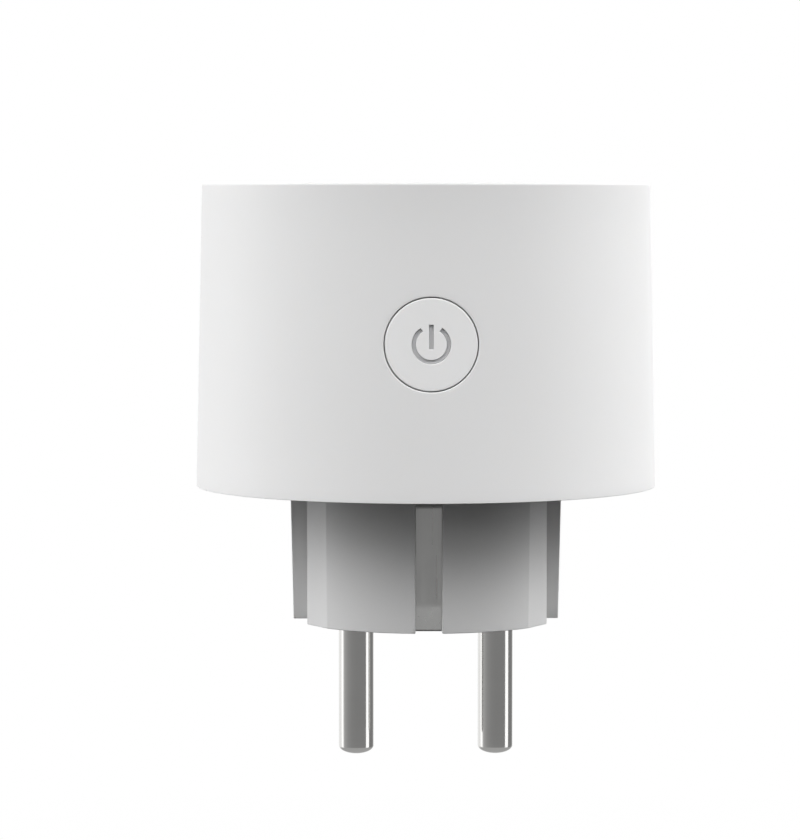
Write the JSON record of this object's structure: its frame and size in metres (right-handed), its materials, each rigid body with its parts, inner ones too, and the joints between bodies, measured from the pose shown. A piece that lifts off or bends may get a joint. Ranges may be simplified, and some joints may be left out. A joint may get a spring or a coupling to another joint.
{
  "type": "smart plug",
  "caption": "Round smart plug adapter: tapered white body with a front push button, a socket well on top and a two-pin plug with side earth contacts below.",
  "frame": {"origin": "centre of the plug's engagement face, midway between the two live pins", "axes": "+Z out of the wall towards the socket side, +X from the left to the right live pin, -Y towards the push button"},
  "size_m": [0.0624, 0.0624, 0.0779],
  "materials": {
    "white_shell": "satin moulded",
    "white_insert": "satin moulded",
    "white_base": "fine matt moulded",
    "white_button": "satin moulded",
    "icon_grey": "translucent, frosted",
    "screw_steel": "zinc plated",
    "nickel_pin": "polished nickel plate",
    "nickel_strap": "dull nickel plate",
    "spring_steel": "rolled strip",
    "brass": "stamped",
    "black_plastic": "moulded",
    "relay_black": "moulded",
    "shutter_plastic": "moulded",
    "white_carrier": "moulded",
    "insulation_film": "sheet",
    "board_green": "solder mask",
    "board_blue": "solder mask",
    "copper_coil": "enamelled wire",
    "capacitor_sleeve": "shrink sleeve",
    "capacitor_yellow": "potted box",
    "varistor_blue": "epoxy dip",
    "resistor_green": "cement",
    "ferrite": "sintered",
    "chip_black": "epoxy",
    "led_white": "epoxy"
  },
  "bodies": {
    "housing": {"outer_shell": "white_shell", "socket_insert": "white_insert", "plug_base": "white_base", "housing_screws": "screw_steel", "board_screws": "screw_steel", "retainer_screws": "screw_steel", "live_pin": "nickel_pin", "neutral_pin": "nickel_pin", "pin_retainer": "black_plastic", "earth_strap_front": "nickel_strap", "earth_strap_rear": "nickel_strap", "earth_bridge": "brass", "earth_pin_sleeve": "brass", "shutter_spring": "spring_steel", "shutter_retainer": "white_carrier", "contact_carrier": "white_carrier", "live_receptacle": "brass", "neutral_receptacle": "brass", "insulation_sheet": "insulation_film", "main_board": "board_green", "relay_base": "black_plastic", "relay_case": "relay_black", "relay_coil": "copper_coil", "relay_yoke": "screw_steel", "relay_contacts": "brass", "bulk_capacitor": "capacitor_sleeve", "output_capacitor": "capacitor_sleeve", "x_capacitor": "capacitor_yellow", "varistor": "varistor_blue", "fuse_resistor": "resistor_green", "inductor_core": "ferrite", "inductor_winding": "copper_coil", "bridge_rectifier": "chip_black", "power_controller": "chip_black", "meter_chip": "chip_black", "shunt_resistor": "nickel_strap", "control_board": "board_green", "board_header": "black_plastic", "wireless_module": "board_blue", "module_shield": "nickel_strap", "status_leds": "led_white", "tact_switch": "relay_black"},
    "button": {"button_cap": "white_button", "icon_diffuser": "icon_grey"},
    "switch_plunger": {"tact_plunger": "black_plastic"},
    "shutter": {"safety_shutter": "shutter_plastic"},
    "clip_leaf_front": {"earth_clip_front": "spring_steel"},
    "clip_leaf_rear": {"earth_clip_rear": "spring_steel"},
    "relay_lever": {"relay_armature": "screw_steel"}
  },
  "joints": [
    {"name": "button_press", "type": "slide", "parent": "housing", "child": "button", "axis": [0, 1, 0], "range_m": [0, 0.0005], "stiffness_N_per_m": 3000, "springref_m": -0.0002},
    {"name": "plunger_press", "type": "slide", "parent": "housing", "child": "switch_plunger", "axis": [0, 1, 0], "range_m": [0, 0.0003]},
    {"name": "shutter_turn", "type": "hinge", "parent": "housing", "child": "shutter", "pos_m": [0, 0, 0.039], "axis": [0, 0, 1], "range_deg": [0, 38], "stiffness_Nm_per_rad": 0.002, "springref_deg": -5.73},
    {"name": "clip_flex_front", "type": "hinge", "parent": "housing", "child": "clip_leaf_front", "pos_m": [0, -0.0218, 0.0409], "axis": [1, 0, 0], "range_deg": [0, 5], "stiffness_Nm_per_rad": 1.1},
    {"name": "clip_flex_rear", "type": "hinge", "parent": "housing", "child": "clip_leaf_rear", "pos_m": [0, 0.0218, 0.0409], "axis": [-1, 0, 0], "range_deg": [0, 5], "stiffness_Nm_per_rad": 1.1},
    {"name": "armature_pull", "type": "hinge", "parent": "housing", "child": "relay_lever", "pos_m": [0.0195, 0.0028, 0.03505], "axis": [1, 0, 0], "range_deg": [0, 4], "stiffness_Nm_per_rad": 0.02, "springref_deg": -1.15}
  ],
  "couplings": [
    {"joint": "plunger_press", "follows": "button_press", "ratio": 0.6}
  ]
}
